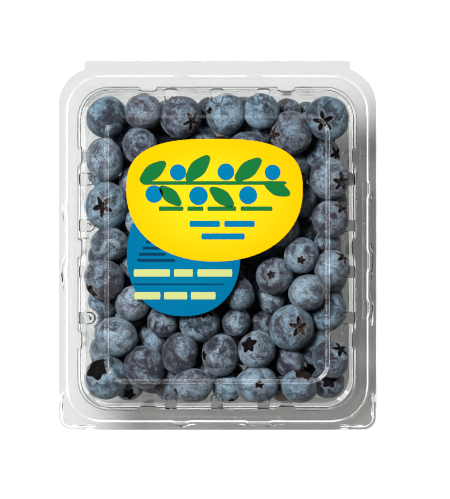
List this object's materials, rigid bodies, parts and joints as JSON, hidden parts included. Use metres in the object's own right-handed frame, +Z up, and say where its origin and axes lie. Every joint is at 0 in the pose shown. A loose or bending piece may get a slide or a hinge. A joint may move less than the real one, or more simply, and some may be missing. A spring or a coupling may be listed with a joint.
{
  "type": "punnet of blueberries",
  "caption": "Clear hinged clamshell punnet filled with round dark blue berries, with ribbed walls, vent slots along the lid's shoulder and an oval sticker on its raised panel.",
  "frame": {"origin": "centre of the bottom of the closed punnet's box, on the surface it stands on", "axes": "+Z up, +Y towards the hinge edge, +X to the right seen from the front with the lift tabs near the viewer"},
  "size_m": [0.1094, 0.127, 0.037],
  "materials": {
    "clear_tray": "clear formed sheet, glossy",
    "clear_lid": "clear formed sheet, glossy",
    "printed_label": "satin printed sticker in yellow and blue",
    "berry_skin": "waxy skin with pale bloom, dull"
  },
  "bodies": {
    "tray": {"tray": "clear_tray", "berries": "berry_skin"},
    "lid": {"lid": "clear_lid", "label": "printed_label"}
  },
  "joints": [
    {"name": "lid_hinge", "type": "hinge", "parent": "tray", "child": "lid", "pos_m": [0, 0.06365, 0.02615], "axis": [-1, 0, 0], "range_deg": [0, 180]}
  ]
}
